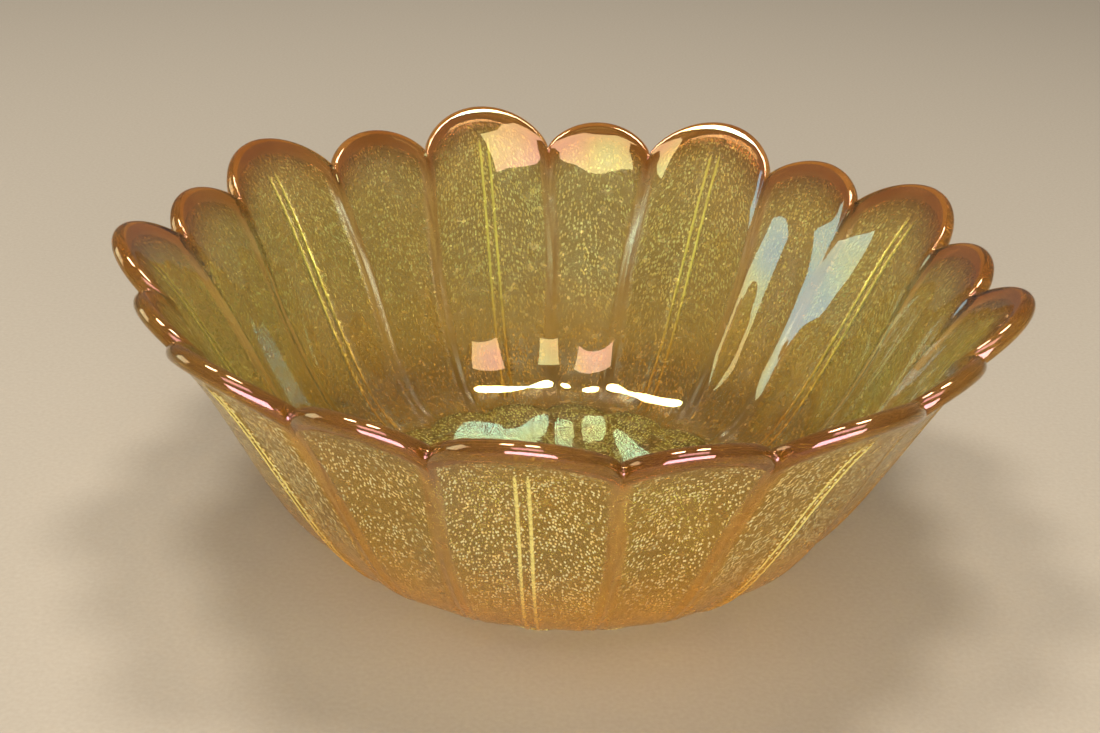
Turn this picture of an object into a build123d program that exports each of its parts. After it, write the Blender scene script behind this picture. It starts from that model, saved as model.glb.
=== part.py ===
"""Iridescent pressed-glass bowl with a flower rim: one glass body and the lustre film fired on its two sides.

Millimetres, +Z up. The origin is the centre of the circle that the foot rests on.
Large and small petals alternate round the wall. Every petal is lofted through wall sections that stand in
planes through the axis, and one large and one small petal make a sector that is repeated round the bowl.
"""

import os
from math import cos, radians, sin

from build123d import *

# Petals
petal_pairs = 9
large_share = 0.56  # part of a sector's angle that its large petal takes
first_large_petal = 25.0  # azimuth of the middle of the first large petal, degrees
arch_roundness = 1.5  # power that sets how full a petal's outline is

# Wall, measured on its middle surface, as (radius, height)
wall_thickness = 4.0
floor_middle = 3.8
wall_start = 50.0
heel = (71.5, 3.0)  # pulls the wall outward before it turns up
large_tip = (106.0, 75.5)
small_tip = (101.7, 72.5)
notch = (95.8, 66.0)
large_tip_slope = 40.0  # degrees above the horizontal at the rim
small_tip_slope = 42.0
notch_slope = 60.0
tip_pull = 24.0  # length of the control arm that holds the wall's slope at the rim

# Floor disc, which laps over the start of the wall
floor_radius = 52.4
floor_lap = 0.08  # how far the disc stands above and below the wall's start
film_floor_radius = 51.5  # the floor's film ends before the wall rises through the disc

# Twin rib down the back of each large petal
rib_radius = 0.9
rib_sink = 0.4  # depth of the rib's centre below the glass surface
rib_spread = 0.85  # each rib's angle from the petal's middle, degrees
rib_start = 0.16  # share of the way up the wall
rib_end = 0.93

# Scalloped foot
foot_radius = 54.0
foot_inner_radius = 46.0
scallops = 2 * petal_pairs
scallop_radius = 10.4

# Lustre film: a real one is far under a micrometre thick, so this is a stand-in
film_thickness = 0.2
outer_film_start = 0.1  # share of the way up the wall, above the foot
inner_film_start = 0.012  # share of the way up the wall, within the floor disc

half_wall = wall_thickness / 2
sector_angle = 360 / petal_pairs
large_half_angle = sector_angle * large_share / 2
small_half_angle = sector_angle / 2 - large_half_angle
small_offset = large_half_angle + small_half_angle
section_phases = [-90, -60, -30, 0, 30, 60, 90]
wall_steps = 8

os.makedirs("parts", exist_ok=True)


def arm(end, slope):
    """Control point behind the rim end of a wall curve."""
    return (
        end[0] - tip_pull * cos(radians(slope)),
        end[1] - tip_pull * sin(radians(slope)),
    )


def blend(low, high, share):
    """Point between two (radius, height) points."""
    return tuple(a + (b - a) * share for a, b in zip(low, high))


def wall_curve(tip, tip_slope, rise):
    """Middle line of the wall, from the floor to the rim: rise is 0 in a notch and 1 in a petal's middle."""
    rim = blend(notch, tip, rise)
    behind_rim = blend(arm(notch, notch_slope), arm(tip, tip_slope), rise)
    return Bezier((wall_start, floor_middle), heel, behind_rim, rim)


def side_points(curve, distance, start=0.0, end=1.0):
    """Points beside a wall curve: a positive distance is towards the outside of the bowl."""
    points = []
    for step in range(wall_steps + 1):
        share = start + (end - start) * step / wall_steps
        along = curve % share
        point = curve @ share + Vector(along.Y, -along.X) * distance
        points.append((point.X, point.Y))
    return points


def radial_plane(azimuth):
    """Plane through the bowl's axis, with its x away from the axis and its y up."""
    angle = radians(azimuth)
    return Plane(origin=(0, 0, 0), x_dir=(cos(angle), sin(angle), 0), z_dir=(sin(angle), -cos(angle), 0))


def glass_section(azimuth, curve):
    """Full thickness of the wall, closed by a round lip."""
    outer = side_points(curve, half_wall)
    inner = side_points(curve, -half_wall)
    crest = curve @ 1 + (curve % 1) * half_wall
    with BuildSketch(radial_plane(azimuth)) as section:
        with BuildLine():
            Spline(*outer)
            ThreePointArc(outer[-1], crest, inner[-1])
            Spline(*inner[::-1])
            Line(inner[0], outer[0])
        make_face()
    return section.sketch


def film_section(azimuth, curve, side, start):
    """Band from the wall's middle line to just past one face, ending on the lip's crest: side is 1 or -1."""
    reach = half_wall + film_thickness
    face = side_points(curve, side * reach, start)
    middle = side_points(curve, 0, start)
    along = curve % 1
    outward = Vector(along.Y, -along.X) * side
    crest = curve @ 1 + along * reach
    turn = curve @ 1 + (along + outward).normalized() * reach
    with BuildSketch(radial_plane(azimuth)) as section:
        with BuildLine():
            Spline(*face)
            ThreePointArc(face[-1], turn, crest)
            Line(crest, middle[-1])
            Spline(*middle[::-1])
            Line(middle[0], face[0])
        make_face()
    return section.sketch


def petal_sections(middle, half_angle, tip, tip_slope, section):
    """Sections across one petal, from notch to notch."""
    return [
        section(
            middle + half_angle * sin(radians(phase)),
            wall_curve(tip, tip_slope, cos(radians(phase)) ** arch_roundness),
        )
        for phase in section_phases
    ]


def large_sections(section):
    return petal_sections(first_large_petal, large_half_angle, large_tip, large_tip_slope, section)


def small_sections(section):
    return petal_sections(first_large_petal + small_offset, small_half_angle, small_tip, small_tip_slope, section)


def outer_band(azimuth, curve):
    return film_section(azimuth, curve, 1, outer_film_start)


def inner_band(azimuth, curve):
    return film_section(azimuth, curve, -1, inner_film_start)


def rib(side, radius):
    """One of the twin ribs, as a round bar half sunk in the glass."""
    curve = wall_curve(large_tip, large_tip_slope, 1)
    route = side_points(curve, half_wall - rib_sink, rib_start, rib_end)
    plane = radial_plane(first_large_petal + side * rib_spread)
    with BuildPart() as bar:
        with BuildLine(plane) as path:
            Spline(*route)
        with BuildSketch(path.line ^ 0):
            Circle(radius)
        sweep()
        for end in (0, 1):
            with Locations(path.line @ end):
                Sphere(radius)
    return bar.part


# Sector of the glass wall: a large petal with its twin rib, and the small petal beside it
with BuildPart() as glass_sector:
    loft(sections=large_sections(glass_section))
    loft(sections=small_sections(glass_section))
    add(rib(-1, rib_radius))
    add(rib(1, rib_radius))

# Sector of the film on the back of the petals
with BuildPart() as outer_film_sector:
    loft(sections=large_sections(outer_band))
    loft(sections=small_sections(outer_band))
    add(rib(-1, rib_radius + film_thickness))
    add(rib(1, rib_radius + film_thickness))
    add(glass_sector.part, mode=Mode.SUBTRACT)

# Sector of the film on the inside of the petals
with BuildPart() as inner_film_sector:
    loft(sections=large_sections(inner_band))
    loft(sections=small_sections(inner_band))
    add(glass_sector.part, mode=Mode.SUBTRACT)

# Floor disc, common to the glass and to the film's cut
floor_bottom = floor_middle - half_wall - floor_lap
floor_top = floor_middle + half_wall + floor_lap
with BuildPart() as floor_disc:
    with BuildSketch(Plane.XY.offset(floor_bottom)):
        Circle(floor_radius)
    extrude(amount=floor_top - floor_bottom)

# Glass body: the wall's sectors, the floor and the scalloped foot
with BuildPart() as glass_bowl:
    with PolarLocations(0, petal_pairs):
        add(glass_sector.part, clean=False)
    add(floor_disc.part)
    with BuildSketch():
        Circle(foot_radius - scallop_radius)
        with PolarLocations(foot_radius - scallop_radius, scallops, start_angle=first_large_petal):
            Circle(scallop_radius)
        Circle(foot_inner_radius, mode=Mode.SUBTRACT)
    extrude(amount=floor_middle)
glass_bowl.part.label = "glass_bowl"

# Film on the back, from just above the foot to the crest of the lip
with BuildPart() as lustre_film_outside:
    with PolarLocations(0, petal_pairs):
        add(outer_film_sector.part, clean=False)
lustre_film_outside.part.label = "lustre_film_outside"

# Film on the inside, across the floor and up to the crest of the lip
with BuildPart() as lustre_film_inside:
    with PolarLocations(0, petal_pairs):
        add(inner_film_sector.part, clean=False)
    with BuildSketch(Plane.XY.offset(floor_top)):
        Circle(film_floor_radius)
    extrude(amount=film_thickness)
    add(floor_disc.part, mode=Mode.SUBTRACT)
lustre_film_inside.part.label = "lustre_film_inside"

export_step(glass_bowl.part, "parts/glass_bowl.step")
export_step(lustre_film_outside.part, "parts/lustre_film_outside.step")
export_step(lustre_film_inside.part, "parts/lustre_film_inside.step")
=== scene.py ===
"""Looks for the iridescent pressed-glass bowl: one closed glass mesh with petals, twin ribs, a round lip,
a scalloped foot and a petal star under the floor. Its inside, back, lip, foot and underside each have
their own material."""

from math import cos, pi, radians, sin

import bpy
import numpy as np
from mathutils import Matrix, Vector


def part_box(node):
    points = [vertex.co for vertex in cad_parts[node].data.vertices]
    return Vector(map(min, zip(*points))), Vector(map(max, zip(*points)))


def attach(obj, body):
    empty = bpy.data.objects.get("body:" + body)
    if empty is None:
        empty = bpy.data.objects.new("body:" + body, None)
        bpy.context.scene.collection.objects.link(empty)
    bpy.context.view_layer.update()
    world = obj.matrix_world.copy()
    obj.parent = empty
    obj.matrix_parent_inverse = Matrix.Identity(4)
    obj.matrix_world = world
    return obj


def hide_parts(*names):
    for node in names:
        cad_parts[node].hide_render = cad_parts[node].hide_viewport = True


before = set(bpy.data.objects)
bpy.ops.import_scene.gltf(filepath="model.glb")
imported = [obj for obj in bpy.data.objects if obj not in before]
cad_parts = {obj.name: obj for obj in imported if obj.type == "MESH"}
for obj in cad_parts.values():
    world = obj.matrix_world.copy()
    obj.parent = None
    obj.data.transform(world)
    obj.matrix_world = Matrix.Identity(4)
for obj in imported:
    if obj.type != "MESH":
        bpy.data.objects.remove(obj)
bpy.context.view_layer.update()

# All sizes below are millimetres of a bowl whose lip stands 77.5 high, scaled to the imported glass.
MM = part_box("glass_bowl")[1].z / 77.5

# ---------------------------------------------------------------- shape
PAIRS = 9
FIRST_LARGE = 25.0  # azimuth of the first large petal's middle, degrees
PAIR_ANGLE = 360 / PAIRS

WALL_START = (50.0, 3.8)  # radius and height of the wall's middle surface
HEEL = (71.5, 3.0)
LARGE_TIP, LARGE_SLOPE = (106.0, 75.5), 40.0
SMALL_TIP, SMALL_SLOPE = (101.7, 72.5), 42.0
NOTCH, NOTCH_SLOPE = (95.8, 66.0), 60.0
TIP_PULL = 24.0
HALF_WALL = 1.8
LIP_RADIUS = 2.1

FOOT_RADIUS = 54.0
SCALLOP_RADIUS = 10.4
FOOT_INNER = 46.0
FLOOR_UNDER = 1.8
FLOOR_TOP = 5.88 - 0.3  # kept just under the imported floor

BAND_HALF = 2.0  # smooth band beside each petal edge
BAND_DEPTH = 0.35
RIB_OFFSET = 1.25
RIB_HALF = 0.55
RIB_HEIGHT = 0.55

LARGE_COLUMNS = 46
SMALL_COLUMNS = 34
LARGE_HALF_WIDTH = 19.0  # only used to space the columns
SMALL_HALF_WIDTH = 13.0
WALL_ROWS = 62
INNER_ROWS = 40

# Shares of the way up the wall.
BACK_START = 0.055
INSIDE_END = 0.012
LIP_START = 0.982
NEAR_RIM = (0.84, 0.98)  # the rim attribute rises from 0 to 1 between these

UNDERSIDE, FOOT, BACK, LIP, INSIDE = range(5)  # zones of the mesh, in the order of its materials


def smooth(x, low, high):
    """0 below low, 1 above high, and smooth between."""
    t = np.clip((x - low) / (high - low), 0, 1)
    return t * t * (3 - 2 * t)


def column_places(count, half_width, rib):
    """Places across a petal, from -1 to 1, closer together at its edges and at its ribs."""
    fine = np.linspace(-1, 1, 2001)
    edge = (1 - np.abs(fine)) * half_width
    density = 1 + 2.2 * np.exp(-((edge - BAND_HALF) / 1.2) ** 2)
    density += 1.6 * np.exp(-((edge / 1.2) ** 2))
    if rib:
        density += 4.0 * np.exp(-(((np.abs(fine) * half_width - RIB_OFFSET) / 0.9) ** 2))
    total = np.concatenate([[0], np.cumsum((density[1:] + density[:-1]) / 2)])
    return np.interp(np.arange(count) / count, total / total[-1], fine)


def columns():
    """For every column: its petal's middle azimuth, its place across the petal, and 1 on large petals."""
    middle, place, large = [], [], []
    for pair in range(PAIRS):
        for is_large, count in ((1, LARGE_COLUMNS), (0, SMALL_COLUMNS)):
            half_width = LARGE_HALF_WIDTH if is_large else SMALL_HALF_WIDTH
            spots = column_places(count, half_width, is_large)
            at = FIRST_LARGE + PAIR_ANGLE * (pair + (0 if is_large else 0.5))
            middle += [at] * count
            place += list(spots)
            large += [is_large] * count
    return np.array(middle), np.array(place), np.array(large, float)


MIDDLE, PLACE, LARGE = columns()
ARCH = np.clip(1 - PLACE**2, 0, 1) ** 0.75
SOFT_ARCH = 0.5 + 0.5 * np.cos(pi * PLACE)


def large_share(radius):
    """Part of a pair's angle that the large petal takes: all of it near the middle of the floor."""
    wall = 0.62 - 0.07 * smooth(radius, 80, 98)
    return 1 + (wall - 1) * smooth(radius, 18, 46)


def azimuths(radius):
    """Azimuth of every column at a radius, radians."""
    share = large_share(radius)
    half = np.where(LARGE > 0, share, 1 - share) * PAIR_ANGLE / 2
    return np.radians(MIDDLE + half * PLACE), np.radians(half)


def bezier(points, t):
    """Cubic through control points given as arrays of (radius, height), with its unit tangent."""
    a, b, c, d = points
    at = (1 - t) ** 3 * a + 3 * (1 - t) ** 2 * t * b + 3 * (1 - t) * t * t * c + t**3 * d
    along = 3 * (1 - t) ** 2 * (b - a) + 6 * (1 - t) * t * (c - b) + 3 * t * t * (d - c)
    return at, along / np.linalg.norm(along, axis=-1, keepdims=True)


def wall(t, arch):
    """Middle surface of the wall at share t of the way up, for every column: points and tangents."""
    tip = np.where(LARGE[:, None] > 0, np.array(LARGE_TIP), np.array(SMALL_TIP))
    slope = np.radians(np.where(LARGE > 0, LARGE_SLOPE, SMALL_SLOPE))
    tip_arm = tip - TIP_PULL * np.stack([np.cos(slope), np.sin(slope)], -1)
    notch = np.array(NOTCH)
    notch_arm = notch - TIP_PULL * np.array([cos(radians(NOTCH_SLOPE)), sin(radians(NOTCH_SLOPE))])
    rim = notch + (tip - notch) * arch[:, None]
    behind = notch_arm + (tip_arm - notch_arm) * arch[:, None]
    start = np.array(WALL_START) + 0 * rim
    heel = np.array(HEEL) + 0 * rim
    return bezier((start, heel, behind, rim), t)


def half_thickness(t):
    """Half the wall's thickness at share t of the way up: it swells into the round lip."""
    return HALF_WALL + (LIP_RADIUS - HALF_WALL) * smooth(t, 0.93, 1.0)


def relief(radius, half_angle):
    """How much of the smooth band and of the twin ribs lies at every column, each from 0 to 1."""
    edge = (1 - np.abs(PLACE)) * half_angle * radius
    band = 1 - smooth(edge, BAND_HALF * 0.75, BAND_HALF * 1.25)
    centre = np.abs(PLACE) * half_angle * radius
    rib = np.exp(-(((centre - RIB_OFFSET) / RIB_HALF) ** 2)) * LARGE
    return band, rib


def outward(along):
    """Unit normal on the back's side of the wall, from its tangent."""
    return np.stack([along[:, 1], -along[:, 0]], -1)


def out_point(point, along, distance):
    """The point moved that distance out of the wall's middle surface."""
    return point + outward(along) * distance[:, None]


def profile_rows():
    """Rows of the surface, from the middle of the underside out, up the back, over the lip and down inside.
    Each row: radius, height and azimuth of every column, zone, then band, rib and nearness to the rim."""
    rows = []
    nothing = np.zeros(len(PLACE))

    def flat_row(radius, height, zone):
        radius = radius + nothing
        angle, _ = azimuths(float(radius.mean()))
        rows.append((radius, height + nothing, angle, zone, nothing, nothing, nothing))

    def patterned(radius, height, zone):
        angle, half = azimuths(radius)
        band, rib = relief(radius, half)
        fade = float(smooth(radius, 4, 12))
        rib = rib * float(smooth(radius, 20, 34))
        lift = fade * (BAND_DEPTH * (1 - band) + RIB_HEIGHT * rib)
        rows.append((radius + nothing, height - lift, angle, zone, band * fade, rib, nothing))

    for radius in (1.5, 4, 8, 12, 17, 22, 27, 32, 37, 41, 44.5):
        patterned(radius, FLOOR_UNDER + BAND_DEPTH, UNDERSIDE)
    flat_row(FOOT_INNER - 0.2, 1.6, FOOT)
    flat_row(FOOT_INNER + 0.4, 0.3, FOOT)
    flat_row(FOOT_INNER + 0.9, 0.0, FOOT)
    azimuth_here, _ = azimuths(FOOT_RADIUS)
    step = radians(PAIR_ANGLE / 2)
    across = (azimuth_here - radians(FIRST_LARGE) + step / 2) % step - step / 2
    ring = FOOT_RADIUS - SCALLOP_RADIUS
    scallop = ring * np.cos(across) + np.sqrt(SCALLOP_RADIUS**2 - (ring * np.sin(across)) ** 2)
    for inset, height in ((1.2, 0.0), (0.45, 0.15), (0.1, 0.6), (0.0, 1.3), (0.05, 2.0)):
        rows.append((scallop - inset, height + nothing, azimuth_here, FOOT, nothing, nothing, nothing))

    steps = np.linspace(0, 1, WALL_ROWS)
    for t in BACK_START + (1 - BACK_START) * steps:
        point, along = wall(t, ARCH)
        radius = float(point[:, 0].mean())
        angle, half = azimuths(radius)
        band, rib = relief(point[:, 0], half)
        rib = rib * float(smooth(t, 0.02, 0.12) * (1 - smooth(t, 0.86, 0.95)))
        rim_fade = 1 - float(smooth(t, 0.88, 0.97))
        lift = half_thickness(t) + rim_fade * (RIB_HEIGHT * rib - BAND_DEPTH * band)
        point = out_point(point, along, lift)
        zone = BACK if t < LIP_START else LIP
        smooth_part = np.maximum(band, float(smooth(t, 0.955, 0.98)))
        near_rim = nothing + float(smooth(t, *NEAR_RIM))
        rows.append((point[:, 0], point[:, 1], angle, zone, smooth_part, rib, near_rim))

    point, along = wall(1.0, ARCH)
    angle, _ = azimuths(float(point[:, 0].mean()))
    across = outward(along)
    for turn in np.linspace(0, pi, 10)[1:-1]:
        bead = point + LIP_RADIUS * (across * cos(turn) + along * sin(turn))
        rows.append((bead[:, 0], bead[:, 1], angle, LIP, nothing + 1, nothing, nothing + 1))

    for t in np.linspace(1, INSIDE_END, INNER_ROWS):
        arch = SOFT_ARCH + (ARCH - SOFT_ARCH) * float(smooth(t, 0.7, 1.0))
        point, along = wall(t, arch)
        angle, _ = azimuths(float(point[:, 0].mean()))
        point = out_point(point, along, -half_thickness(t) + nothing)
        zone = INSIDE if t < LIP_START else LIP
        near_rim = nothing + float(smooth(t, *NEAR_RIM))
        above_floor = np.maximum(point[:, 1], FLOOR_TOP)
        rows.append((point[:, 0], above_floor, angle, zone, nothing, nothing, near_rim))
    for radius in (41, 34, 26, 18, 10, 4, 1.5):
        flat_row(radius, FLOOR_TOP, INSIDE)
    return rows


def bowl_mesh(name, materials):
    """The closed glass mesh. Its attributes are the smooth band, the ribs, the nearness to the rim, whether
    the petal is a small one, and grain: metres across the petal and metres along the section. The petals'
    grains are set far apart, so that no two petals have the same pits."""
    rows = profile_rows()
    count = len(PLACE)
    petal = np.cumsum(np.concatenate([[0], np.diff(PLACE) < 0]))
    points, grain, travelled = [], [], 0.0
    for number, (radius, height, angle, *_) in enumerate(rows):
        points.append(np.stack([radius * np.cos(angle), radius * np.sin(angle), height], -1))
        if number:
            before = rows[number - 1]
            travelled += float(np.hypot(radius - before[0], height - before[1]).mean())
        across = (angle - np.radians(MIDDLE)) * radius
        grain.append(np.stack([across + 100.0 * petal, travelled + 0 * across, 0 * across], -1))
    bottom = np.array([[0, 0, rows[0][1].mean()]])
    top = np.array([[0, 0, rows[-1][1].mean()]])
    points = np.concatenate(points + [bottom, top]) * MM
    grain = np.concatenate(grain + [0 * bottom, 0 * top]) * MM
    next_column = (np.arange(count) + 1) % count
    faces, zones = [], []
    for row in range(len(rows) - 1):
        low, high = row * count, (row + 1) * count
        here = np.arange(count)
        corners = (low + here, low + next_column, high + next_column, high + here)
        faces += np.stack(corners, -1).tolist()
        zones += [rows[row + 1][3]] * count
    last = (len(rows) - 1) * count
    for column in range(count):
        faces.append([len(points) - 2, int(next_column[column]), column])
        zones.append(UNDERSIDE)
        faces.append([len(points) - 1, last + column, last + int(next_column[column])])
        zones.append(INSIDE)
    mesh = bpy.data.meshes.new(name)
    mesh.from_pydata(points.tolist(), [], faces)
    for material in materials:
        mesh.materials.append(material)
    mesh.polygons.foreach_set("material_index", zones)
    mesh.polygons.foreach_set("use_smooth", [True] * len(faces))
    painted = {label: [row[entry] for row in rows] for label, entry in (("band", 4), ("rib", 5), ("rim", 6))}
    painted["small"] = [1 - LARGE] * len(rows)
    for label, values in painted.items():
        attribute = mesh.attributes.new(label, "FLOAT", "POINT")
        attribute.data.foreach_set("value", np.concatenate(values + [[0, 0]]).astype(np.float32))
    attribute = mesh.attributes.new("grain", "FLOAT_VECTOR", "POINT")
    attribute.data.foreach_set("vector", grain.astype(np.float32).ravel())
    mesh.update()
    bowl = bpy.data.objects.new(name, mesh)
    bpy.context.scene.collection.objects.link(bowl)
    return bowl


# ---------------------------------------------------------------- materials
class Nodes:
    """Short calls for building a node tree."""

    def __init__(self, name):
        self.material = bpy.data.materials.new(name)
        self.material.use_nodes = True
        self.tree = self.material.node_tree
        self.shader = self.tree.nodes["Principled BSDF"]

    def feed(self, socket, value):
        """Link a socket to another one, or give it a plain value."""
        if isinstance(value, bpy.types.NodeSocket):
            self.tree.links.new(value, socket)
        else:
            socket.default_value = value

    def add(self, kind, values=None, **settings):
        node = self.tree.nodes.new(kind)
        for key, value in settings.items():
            setattr(node, key, value)
        for key, value in (values or {}).items():
            self.feed(node.inputs[key], value)
        return node

    def set(self, **values):
        for key, value in values.items():
            self.feed(self.shader.inputs[key.replace("_", " ")], value)

    def noise(self, scale, detail=2.0, stretch=(1, 1, 1), place=None):
        """Noise in the object's own metres, or in those of the attribute place; scale is features per metre."""
        if place:
            where = self.add("ShaderNodeAttribute", attribute_name=place).outputs["Vector"]
        else:
            where = self.add("ShaderNodeTexCoord").outputs["Object"]
        mapped = self.add("ShaderNodeMapping", {"Vector": where, "Scale": stretch})
        values = {"Vector": mapped.outputs[0], "Scale": scale, "Detail": detail}
        return self.add("ShaderNodeTexNoise", values).outputs["Fac"]

    def ramp(self, value, low, high, to_low=0.0, to_high=1.0):
        """to_low where the value is low, to_high where it is high, and smooth between."""
        values = {0: value, 1: low, 2: high, 3: to_low, 4: to_high}
        return self.add("ShaderNodeMapRange", values, interpolation_type="SMOOTHSTEP").outputs[0]

    def mix(self, share, low, high):
        """Colour low where share is 0, and high where it is 1."""
        return self.add("ShaderNodeMix", {0: share, 6: low, 7: high}, data_type="RGBA").outputs[2]

    def maths(self, operation, first, second=0.0):
        return self.add("ShaderNodeMath", {0: first, 1: second}, operation=operation).outputs[0]

    def attribute(self, name):
        return self.add("ShaderNodeAttribute", attribute_name=name).outputs["Fac"]

    def bump(self, height, strength, distance):
        values = {"Height": height, "Strength": strength, "Distance": distance}
        return self.add("ShaderNodeBump", values).outputs[0]


GLASS_IOR = 1.52
FILM_IOR = 1.75
PITS_PER_METRE = 1600.0
PIT_DEPTH = 0.00012  # metres


def clear_of_bands(n, value):
    """The value, faded out on the smooth bands beside the petal edges."""
    return n.maths("MULTIPLY", value, n.maths("SUBTRACT", 1.0, n.attribute("band")))


def stipple(n):
    """Moulded pits about 0.6 mm across and twice as long up the petal: all of them, and the painted sparkle, a
    share of the pits that the materials paint as bright glints of light.
    """
    where = n.add("ShaderNodeAttribute", attribute_name="grain").outputs["Vector"]
    mapped = n.add("ShaderNodeMapping", {"Vector": where, "Scale": (1, 0.5, 1)}).outputs[0]
    values = {"Vector": mapped, "Scale": PITS_PER_METRE}
    cell = n.add("ShaderNodeTexVoronoi", values, voronoi_dimensions="2D")
    pit = n.ramp(cell.outputs["Distance"], 0.50, 0.15)
    rare = n.maths("MULTIPLY", n.attribute("small"), 0.10)
    drift = n.maths("SUBTRACT", n.ramp(n.noise(160, 2), 0.3, 0.7, -0.12, 0.12), rare)
    # Painted sparkle: these pits are the ones the materials paint as bright glints of light.
    sparkle_pits = n.ramp(n.maths("ADD", cell.outputs["Color"], drift), 0.44, 0.50)
    return clear_of_bands(n, pit), clear_of_bands(n, n.maths("MULTIPLY", pit, sparkle_pits))


def height(n):
    """Height above the table in metres, for colours that deepen towards the foot."""
    place = n.add("ShaderNodeTexCoord").outputs["Object"]
    return n.add("ShaderNodeSeparateXYZ", {"Vector": place}).outputs["Z"]


def inside_lustre():
    n = Nodes("inside_lustre")
    cloud = n.ramp(n.noise(28, 3), 0.35, 0.65)
    colour = n.mix(cloud, (0.77, 0.78, 0.37, 1), (0.70, 0.77, 0.40, 1))
    # Painted reflection and shade: the glass turns orange-brown near the rim, standing in for brown reflections
    # at the petal tops and light crossing more glass there.
    colour_and_rim_shade = n.mix(n.attribute("rim"), colour, (0.34, 0.14, 0.025, 1))
    n.set(Base_Color=colour_and_rim_shade, Transmission_Weight=1.0, IOR=GLASS_IOR)
    n.set(Roughness=n.ramp(n.noise(60, 2), 0.3, 0.7, 0.01, 0.04))
    n.set(Thin_Film_Thickness=n.ramp(n.noise(22, 2), 0.3, 0.7, 215.0, 280.0), Thin_Film_IOR=FILM_IOR)
    n.set(Normal=n.bump(n.noise(90, 1), 0.12, 0.0006))
    return n.material


def outside_lustre():
    n = Nodes("outside_lustre")
    pit, painted_sparkle = stipple(n)
    cloud = n.ramp(n.noise(30, 3), 0.35, 0.65)
    field = n.mix(cloud, (0.53, 0.285, 0.04, 1), (0.46, 0.25, 0.035, 1))
    # Painted sparkle: the chosen pits are painted as bright yellow to orange glints of light.
    warm = n.ramp(n.noise(500, 1), 0.4, 0.6)
    field_and_painted_sparkle = n.mix(painted_sparkle, field, n.mix(warm, (1.0, 0.95, 0.50, 1), (1.0, 0.76, 0.28, 1)))
    streaks = n.noise(700, 2, stretch=(1, 0.03, 1), place="grain")
    band_colour = n.mix(n.ramp(streaks, 0.3, 0.7), (0.46, 0.18, 0.03, 1), (0.74, 0.38, 0.08, 1))
    edged = n.mix(n.attribute("band"), field_and_painted_sparkle, band_colour)
    # Painted highlight: the twin ribs are painted bright yellow, as lit ridges of glass.
    rib = n.ramp(n.attribute("rib"), 0.40, 0.80)
    with_rib_highlight = n.mix(rib, edged, (1.0, 0.86, 0.26, 1))
    foot_tone = n.ramp(height(n), 0.042, 0.008, 0.0, 0.9)
    n.set(Base_Color=n.mix(foot_tone, with_rib_highlight, (0.82, 0.35, 0.025, 1)), IOR=GLASS_IOR)
    # Painted sparkle and painted rib highlights are made part opaque and metallic, so they shine.
    painted_glint = n.maths("MAXIMUM", painted_sparkle, n.maths("MULTIPLY", rib, 0.6))
    n.set(Transmission_Weight=n.ramp(painted_glint, 0.0, 1.0, 0.74, 0.05), Metallic=n.maths("MULTIPLY", painted_glint, 0.6))
    n.set(Roughness=n.ramp(n.noise(300, 2), 0.3, 0.7, 0.14, 0.28))
    n.set(Thin_Film_Thickness=n.ramp(n.noise(18, 2), 0.3, 0.7, 230.0, 300.0), Thin_Film_IOR=FILM_IOR)
    n.set(Normal=n.bump(pit, 1.0, PIT_DEPTH))
    return n.material


def lip_lustre():
    n = Nodes("lip_lustre")
    cloud = n.ramp(n.noise(60, 3), 0.35, 0.65)
    # Painted shade: the lip is tinted darker red-brown than the wall, standing in for light crossing more glass
    # in the round lip.
    colour = n.mix(cloud, (0.56, 0.19, 0.03, 1), (0.72, 0.31, 0.06, 1))
    n.set(Base_Color=colour, Transmission_Weight=0.92, IOR=GLASS_IOR)
    n.set(Roughness=n.ramp(n.noise(200, 2), 0.3, 0.7, 0.02, 0.08))
    n.set(Thin_Film_Thickness=285.0, Thin_Film_IOR=FILM_IOR)
    return n.material


def foot_glass(name):
    n = Nodes(name)
    pit, painted_sparkle = stipple(n)
    cloud = n.ramp(n.noise(40, 3), 0.35, 0.65)
    field = n.mix(cloud, (0.84, 0.46, 0.08, 1), (0.74, 0.36, 0.06, 1))
    # Painted sparkle: bright yellow glints painted on the chosen pits, where the glass is also made mostly
    # opaque.
    field_and_painted_sparkle = n.mix(painted_sparkle, field, (1.0, 0.90, 0.36, 1))
    n.set(Base_Color=n.mix(n.attribute("band"), field_and_painted_sparkle, (0.62, 0.24, 0.04, 1)), IOR=GLASS_IOR)
    n.set(Transmission_Weight=n.ramp(painted_sparkle, 0.0, 1.0, 0.85, 0.1))
    n.set(Roughness=n.ramp(n.noise(500, 2), 0.3, 0.7, 0.05, 0.3))
    n.set(Normal=n.bump(pit, 1.0, PIT_DEPTH))
    return n.material


bowl = bowl_mesh(
    "glass_bowl_detailed",
    [foot_glass("underside_glass"), foot_glass("foot_glass"), outside_lustre(), lip_lustre(), inside_lustre()],
)
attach(bowl, "root")
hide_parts("glass_bowl", "lustre_film_inside", "lustre_film_outside")


# ---------------------------------------------------------------- stage, light and camera
def pale_floor():
    n = Nodes("pale_floor")
    fibre = n.noise(900, 3)
    n.set(Base_Color=n.mix(fibre, (0.31, 0.26, 0.195, 1), (0.385, 0.33, 0.25, 1)), Roughness=0.95)
    return n.material


FLOOR_SIZE = 8
FLOOR_GAP = 0.0002  # the floor lies this far under the foot
bpy.ops.mesh.primitive_plane_add(size=FLOOR_SIZE, location=(0, 0, -FLOOR_GAP))
floor = bpy.context.object
floor.name = "floor"
floor.data.materials.append(pale_floor())

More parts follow.
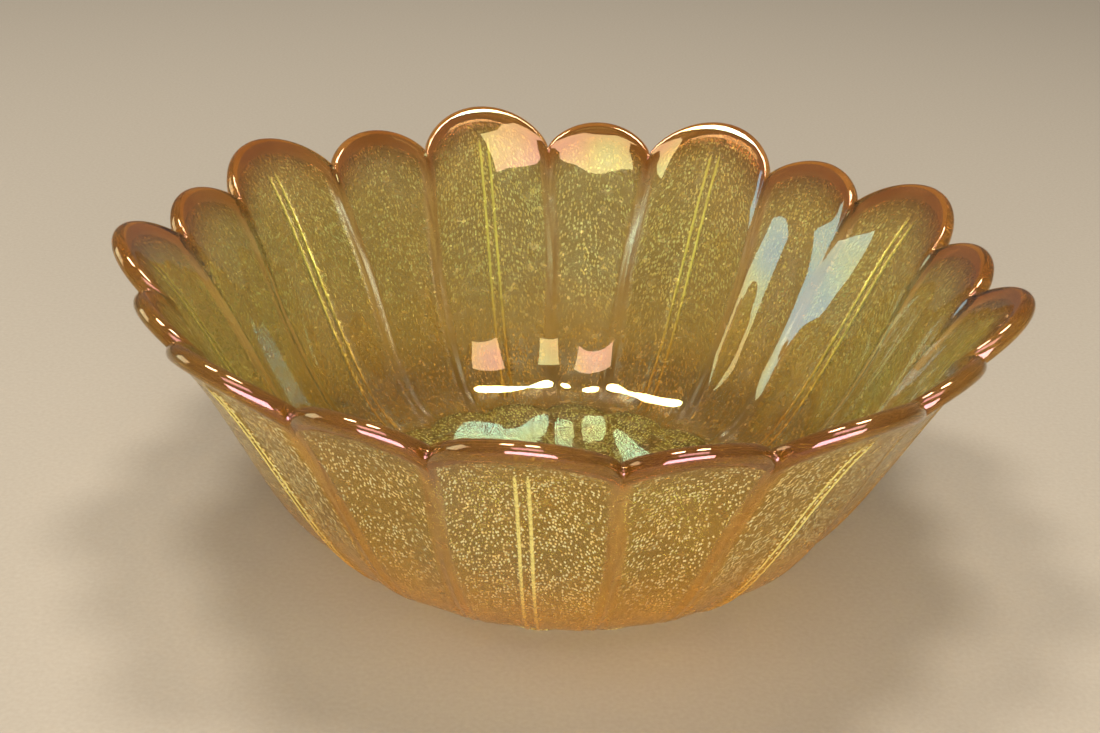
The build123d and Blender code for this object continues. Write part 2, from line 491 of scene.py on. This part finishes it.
world = bpy.data.worlds.new("soft_room")
bpy.context.scene.world = world
world.use_nodes = True
background = world.node_tree.nodes["Background"]
background.inputs["Color"].default_value = (0.60, 0.57, 0.54, 1)
background.inputs["Strength"].default_value = 0.3


def area_light(name, place, target, shape, width, height, power, colour):
    """A soft light at a place, turned to its target; metres and watts."""
    data = bpy.data.lights.new(name, "AREA")
    data.shape = shape
    data.size = width
    data.size_y = height
    data.energy = power
    data.color = colour
    light = bpy.data.objects.new(name, data)
    light.location = place
    light.rotation_euler = (Vector(target) - Vector(place)).to_track_quat("-Z", "Y").to_euler()
    bpy.context.scene.collection.objects.link(light)


area_light("lamp_left", (-0.30, 0.1, 1.1), (0, 0, 0), "ELLIPSE", 0.26, 0.26, 6, (1, 0.98, 0.95))
area_light("lamp_right", (0.14, 0.1, 1.1), (0, 0, 0), "ELLIPSE", 0.26, 0.26, 6, (1, 0.98, 0.95))
area_light("front_fill", (0.1, -1.5, 0.46), (0, 0, 0.03), "RECTANGLE", 1.7, 0.7, 43, (1, 0.96, 0.92))
area_light("ceiling", (0.05, -0.75, 1.25), (0, 0, 0.03), "RECTANGLE", 0.9, 0.45, 5.5, (1, 0.98, 0.95))
area_light("window", (-1.3, 0.2, 0.45), (0, 0, 0.03), "RECTANGLE", 0.6, 0.6, 3.2, (0.95, 0.97, 1))

# Camera at the photograph's viewing angle. Its distance and target are in the bowl's own size.
AZIMUTH, ELEVATION, ROLL = radians(-90.35), radians(25.7), radians(2.6)
DISTANCE = 394 * MM
TARGET = Vector((-3.8, 0, 42.0)) * MM
away = Vector((cos(AZIMUTH) * cos(ELEVATION), sin(AZIMUTH) * cos(ELEVATION), sin(ELEVATION)))
camera_data = bpy.data.cameras.new("camera")
camera_data.sensor_width = 36
camera_data.lens = 51.7
camera_data.clip_start = 0.01
camera = bpy.data.objects.new("camera", camera_data)
looking = (-away).to_track_quat("-Z", "Y").to_matrix()
turned = looking @ Matrix.Rotation(ROLL, 3, "Z")
camera.matrix_world = Matrix.Translation(TARGET + away * DISTANCE) @ turned.to_4x4()
bpy.context.scene.collection.objects.link(camera)
bpy.context.scene.camera = camera
bpy.context.scene.view_settings.view_transform = "Standard"
